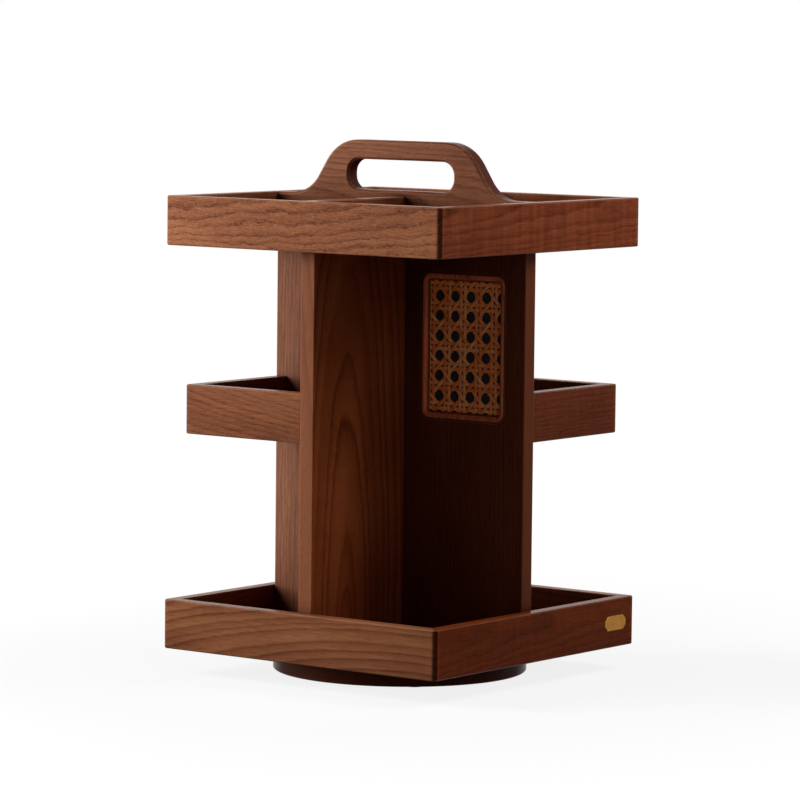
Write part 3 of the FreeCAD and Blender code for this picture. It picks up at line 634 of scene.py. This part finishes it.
def cane_strands(half_x, half_z):
    """Every strand of a sheet as (points, direction, heights, width); the sheet's middle is (0, 0)."""
    strands = []

    def lay(start, end, width, height):
        points, direction = strand_path(start, end, half_x, half_z)
        if points is not None:
            strands.append((points, direction, height(points), width))

    pair_x = FIRST_HOLE - half_x - CANE_PITCH_X / 2
    columns = [pair_x + k * CANE_PITCH_X for k in range(-1, int(2 * half_x / CANE_PITCH_X) + 2)]
    last_row = int(half_z / CANE_PITCH_Z) + 1
    rows = [k * CANE_PITCH_Z for k in range(-last_row, last_row + 1)]

    def pair_height(sign, axis, lines):
        """Over and under the pairs that cross this one, at lines along the axis."""
        def height(points):
            nearest = np.abs(points[:, axis][:, None] - np.array(lines)[None, :]).argmin(1)
            away = points[:, axis] - np.array(lines)[nearest]
            wave = np.where(np.abs(away) < 2 * PAIR_OFFSET, np.sin(np.pi * away / (2 * PAIR_OFFSET)), 0.0)
            return sign * PAIR_WAVE * wave
        return height

    def diagonal_height(sign):
        """One diagonal runs under the upright pairs and over the others, and the other way round."""
        def height(points):
            return -sign * DIAGONAL_WAVE * np.cos(2 * np.pi * (points[:, 0] - pair_x) / CANE_PITCH_X)
        return height

    for x in columns:
        for side in (-1, 1):
            at = x + side * PAIR_OFFSET
            lay((at, -half_z), (at, half_z), PAIR_WIDTH, pair_height(-side, 1, rows))
    for z in rows:
        for side in (-1, 1):
            at = z + side * PAIR_OFFSET
            lay((-half_x, at), (half_x, at), PAIR_WIDTH, pair_height(side, 0, columns))
    slope = CANE_PITCH_Z / CANE_PITCH_X
    count = int((half_z / CANE_PITCH_Z + half_x / CANE_PITCH_X) + 2)
    for sign in (1, -1):
        for k in range(-count, count + 1):
            middle = (k + 0.5) * CANE_PITCH_Z
            ends = [(x, middle + sign * slope * (x - pair_x)) for x in (-half_x, half_x)]
            lay(*ends, DIAGONAL_WIDTH, diagonal_height(sign))
    return strands


def cane_mesh(name, node, facing):
    """Woven cane webbing in the place of a cane sheet. facing is the sign of Y that its face looks to."""
    low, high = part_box(node)
    middle = (low + high) / 2 / MM
    half_x, half_z = (high.x - low.x) / 2 / MM, (high.z - low.z) / 2 / MM
    draw = random.Random(node)
    section = np.array(STRAND_SECTION)
    sides = len(section)
    places, faces, maps, tones = [], [], [], []
    for points, direction, heights, width in cane_strands(half_x, half_z):
        first = sum(len(p) for p in places)
        across = np.array([-direction[1], direction[0]])
        count = len(points)
        along = np.linspace(0, np.hypot(*(points[-1] - points[0])), count)
        uneven = 1 + STRAND_UNEVEN * np.sin(along / draw.uniform(6, 11) + draw.uniform(0, 6))
        span = section[:, 0][None, :] * width * uneven[:, None]
        flat = points[:, None, :] + span[:, :, None] * across[None, None, :]
        lift = heights[:, None] + section[:, 1][None, :] * STRAND_THICK
        places.append(np.stack([flat[:, :, 0], -lift, flat[:, :, 1]], 2).reshape(-1, 3))
        offset, tone = draw.uniform(0, 400), draw.random()
        for i in range(count - 1):
            for j in range(sides):
                a, b = first + i * sides + j, first + i * sides + (j + 1) % sides
                faces.append((a, a + sides, b + sides, b))
                u, v = j / sides * STRAND_ROUND, (j + 1) / sides * STRAND_ROUND
                maps += [(u, along[i] + offset), (u, along[i + 1] + offset),
                         (v, along[i + 1] + offset), (v, along[i] + offset)]
        for last in (0, count - 1):
            rim = [first + last * sides + j for j in range(sides)]
            faces.append(rim if last == 0 else rim[::-1])
            maps += [(j / sides * STRAND_ROUND, along[last] + offset) for j in range(sides)]
        tones += [tone] * (count * sides)
    places = np.concatenate(places)
    places[:, :2] *= -facing
    places = (places + np.array(middle)) * MM
    mesh = bpy.data.meshes.new(name)
    mesh.from_pydata(places.tolist(), [], faces)
    layer = mesh.uv_layers.new(name="Strand")
    layer.uv.foreach_set("vector", np.array(maps, np.float32).ravel())
    shade = mesh.attributes.new("strand_tone", "FLOAT", "POINT")
    shade.data.foreach_set("value", np.array(tones, np.float32))
    mesh.polygons.foreach_set("use_smooth", [True] * len(mesh.polygons))
    mesh.validate()
    return add_object(name, mesh)


def cane_material():
    """Split cane: glossy, with fine lines along each strand, each of its own tone, painted shade on its sides
    and in hollows.
    """
    material, n, output = new_material("split_cane")
    run = n.add("ShaderNodeUVMap", uv_map="Strand").outputs["UV"]
    tone = n.add("ShaderNodeAttribute", attribute_name="strand_tone").outputs["Fac"]
    lines = n.noise(n.stretch(run, (5.0, 0.06, 1.0)), detail=3.0, roughness=0.6)
    spots = n.noise(n.stretch(run, (0.9, 0.22, 1.0)), detail=2.0)
    place = n.math("ADD", n.math("MULTIPLY", tone, 0.5), n.math("MULTIPLY_ADD", lines, 0.9, -0.2))
    shade = n.mix(n.ranged(spots, 0.55, 0.75, 0.0, 0.45), n.ramp(place, CANE_TONES), CANE_SPOT)
    # painted shade towards the sides of each strand, for a rounded look
    rim = n.size(n.math("SUBTRACT", n.split(run)[0], 1.0))
    shade = n.mix(n.ranged(rim, 0.45, 1.0, 0.0, 0.75), shade, CANE_PAINTED_SIDE_SHADE)
    # painted shade in hollows and where strands cross
    shade = n.mix(n.ranged(n.openness(CANE_REACH, 8), 0.20, 0.65, 0.85, 0.0), shade, CANE_PAINTED_HOLLOW_SHADE)
    principled(n, output, Base_Color=shade, Roughness=n.math("MULTIPLY_ADD", lines, 0.2, 0.32),
               Specular_IOR_Level=CANE_SPECULAR, Normal=n.bump(lines, CANE_RELIEF, 0.35))
    return material


def weave_windows():
    """Replaces both cane sheets by woven webbing."""
    material = cane_material()
    for side, facing in (("right", -1), ("left", 1)):
        piece = cane_mesh(f"{side}_cane_weave", f"{side}_cane_sheet", facing)
        piece.data.materials.append(material)
        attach(piece, "carousel")
        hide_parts(f"{side}_cane_sheet")


def bead_mesh(name, node, facing):
    """A half-round moulding round the window, in the place of a plain bead."""
    low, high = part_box(node)
    middle = (low + high) / 2 / MM
    half_x, half_z = (high.x - low.x) / 2 / MM, (high.z - low.z) / 2 / MM
    proud = (high.y if facing > 0 else -low.y) / MM
    outline = []
    for sign_x, sign_z, start in ((1, 1, 0), (-1, 1, 90), (-1, -1, 180), (1, -1, 270)):
        for k in range(BEAD_TURNS + 1):
            turn = math.radians(start + 90 * k / BEAD_TURNS)
            outline.append((sign_x * (half_x - RECESS_CORNER), sign_z * (half_z - RECESS_CORNER),
                            math.cos(turn), math.sin(turn)))
    top = max(out for _, out in BEAD_SECTION)
    places = [((middle.x + x + out_x * (RECESS_CORNER - inward)) * MM, facing * (proud - top + out) * MM,
               (middle.z + z + out_z * (RECESS_CORNER - inward)) * MM)
              for x, z, out_x, out_z in outline for inward, out in BEAD_SECTION]
    count, sides = len(outline), len(BEAD_SECTION)
    faces, parts = [], []
    for i in range(count):
        for j in range(sides):
            a, b = i * sides + j, i * sides + (j + 1) % sides
            c, d = (i + 1) % count * sides + (j + 1) % sides, (i + 1) % count * sides + j
            faces.append((a, b, c, d) if facing > 0 else (d, c, b, a))
            parts.append((j >= BEAD_RIDGE) + (j >= BEAD_FLANGE))
    mesh = bpy.data.meshes.new(name)
    mesh.from_pydata(places, [], faces)
    mesh.polygons.foreach_set("material_index", parts)
    mesh.polygons.foreach_set("use_smooth", [part > 0 for part in parts])
    mesh.validate()
    return add_object(name, mesh)


def mould_beads(frame, figure):
    """Replaces both plain beads by half-round mouldings of reddish wood, with painted light on the ridge and
    painted shade on the slope down to the cane.
    """
    for side, facing in (("right", -1), ("left", 1)):
        node = f"{side}_window_bead"
        piece = bead_mesh(f"{side}_window_moulding", node, facing)
        board = board_mapping(node, BEAD_PITH)
        piece.data.materials.append(frame["nodes"]["long_panel"].data.materials[0])
        for part, (tint, edge_tint) in BEAD_LIGHT_AND_SHADE_TINTS.items():
            piece.data.materials.append(wood_material(f"{side}_bead_{part}", figure, board, tint, edge_tint,
                                                      bay_reach=BEAD_BAY_REACH, Fibres=0.5, Seed=11.0))
        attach(piece, "carousel")
        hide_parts(node)


def from_angles(azimuth, elevation):
    """Unit vector from the object to a place at this azimuth and elevation, in degrees."""
    a, e = math.radians(azimuth), math.radians(elevation)
    return Vector((math.sin(a) * math.cos(e), -math.cos(a) * math.cos(e), math.sin(e)))


def add_lamps():
    """Soft studio lamps, all aimed at the object."""
    for name, (azimuth, elevation, distance, width, height, power) in LAMPS.items():
        lamp = bpy.data.lights.new(name, "AREA")
        lamp.shape, lamp.size, lamp.size_y, lamp.energy = "RECTANGLE", width, height, power
        out = from_angles(azimuth, elevation)
        holder = add_object(name, lamp)
        holder.location = LAMP_AIM + out * distance
        holder.rotation_euler = out.to_track_quat("Z", "Y").to_euler()


def background_share(n):
    """1 for rays that see the backdrop as such: from the camera, in reflections and through glass."""
    path = n.add("ShaderNodeLightPath").outputs
    seen = n.math("ADD", path["Is Camera Ray"], path["Is Glossy Ray"])
    return n.math("ADD", seen, path["Is Transmission Ray"], clamp=True)


def add_world():
    """White to look at, and a dim even light on the object."""
    world = bpy.data.worlds.new("studio")
    world.use_nodes = True
    world.node_tree.nodes.clear()
    n = Nodes(world.node_tree)
    strength = n.ranged(background_share(n), 0.0, 1.0, AMBIENT, 1.0)
    back = n.add("ShaderNodeBackground", {"Color": (1, 1, 1, 1), "Strength": strength})
    n.put(n.add("ShaderNodeOutputWorld").inputs["Surface"], back.outputs[0])
    bpy.context.scene.world = world


def floor_material():
    """Pale floor that keeps the object's shadow, fades to white further out and is open from below."""
    material, n, output = new_material("pale_floor")

    def blend(kind, first, second, share=None):
        """Both shaders added, or mixed by a share of the second."""
        node = n.add(kind, {"Fac": share} if share else None)
        for socket, shader in zip(list(node.inputs)[-2:], (first, second)):
            n.put(socket, shader)
        return node.outputs[0]

    away = n.vector("LENGTH", n.add("ShaderNodeTexCoord").outputs["Object"])
    glow = n.ranged(away, FLOOR_NEAR, FLOOR_FAR, FLOOR_GLOW_NEAR, 1.0)
    plain = n.add("ShaderNodeBsdfDiffuse", {"Color": (FLOOR_ALBEDO,) * 3 + (1.0,)}).outputs[0]
    bright = n.add("ShaderNodeEmission", {"Strength": glow}).outputs[0]
    seen = blend("ShaderNodeAddShader", plain, bright)
    top = blend("ShaderNodeMixShader", plain, seen, background_share(n))
    below = n.add("ShaderNodeNewGeometry").outputs["Backfacing"]
    clear = n.add("ShaderNodeBsdfTransparent").outputs[0]
    n.put(output.inputs["Surface"], blend("ShaderNodeMixShader", top, clear, below))
    return material


def add_floor():
    """A round pale floor at the level of the pads."""
    turns = [2 * math.pi * k / FLOOR_TURNS for k in range(FLOOR_TURNS)]
    rim = [(FLOOR_RADIUS * math.cos(turn), FLOOR_RADIUS * math.sin(turn), 0.0) for turn in turns]
    mesh = bpy.data.meshes.new("floor")
    mesh.from_pydata(rim, [], [list(range(FLOOR_TURNS))])
    mesh.materials.append(floor_material())
    floor = add_object("floor", mesh)


def add_camera():
    """The photograph's view."""
    data = bpy.data.cameras.new("camera")
    data.lens, data.sensor_width = CAMERA_LENS, CAMERA_SENSOR
    data.clip_start, data.clip_end = CAMERA_CLIP
    camera = add_object("camera", data)
    back = from_angles(CAMERA_AZIMUTH, CAMERA_ELEVATION)
    camera.location = CAMERA_AIM + back * CAMERA_DISTANCE
    level = (-back).to_track_quat("-Z", "Y").to_matrix()
    camera.rotation_euler = (level @ Matrix.Rotation(math.radians(CAMERA_ROLL), 3, "Z")).to_euler()
    bpy.context.scene.camera = camera


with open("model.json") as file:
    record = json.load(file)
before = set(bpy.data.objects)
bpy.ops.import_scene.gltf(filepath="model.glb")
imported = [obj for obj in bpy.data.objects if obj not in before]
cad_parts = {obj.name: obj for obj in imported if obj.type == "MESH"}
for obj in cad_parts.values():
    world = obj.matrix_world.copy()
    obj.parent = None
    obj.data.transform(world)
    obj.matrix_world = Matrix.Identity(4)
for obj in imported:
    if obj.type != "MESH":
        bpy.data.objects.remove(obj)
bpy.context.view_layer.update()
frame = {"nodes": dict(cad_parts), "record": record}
bpy.context.scene.view_settings.view_transform = "Standard"
wood = dress_boards(frame)
dress_fittings(frame)
weave_windows()
mould_beads(frame, wood)
add_world()
add_floor()
add_lamps()
add_camera()
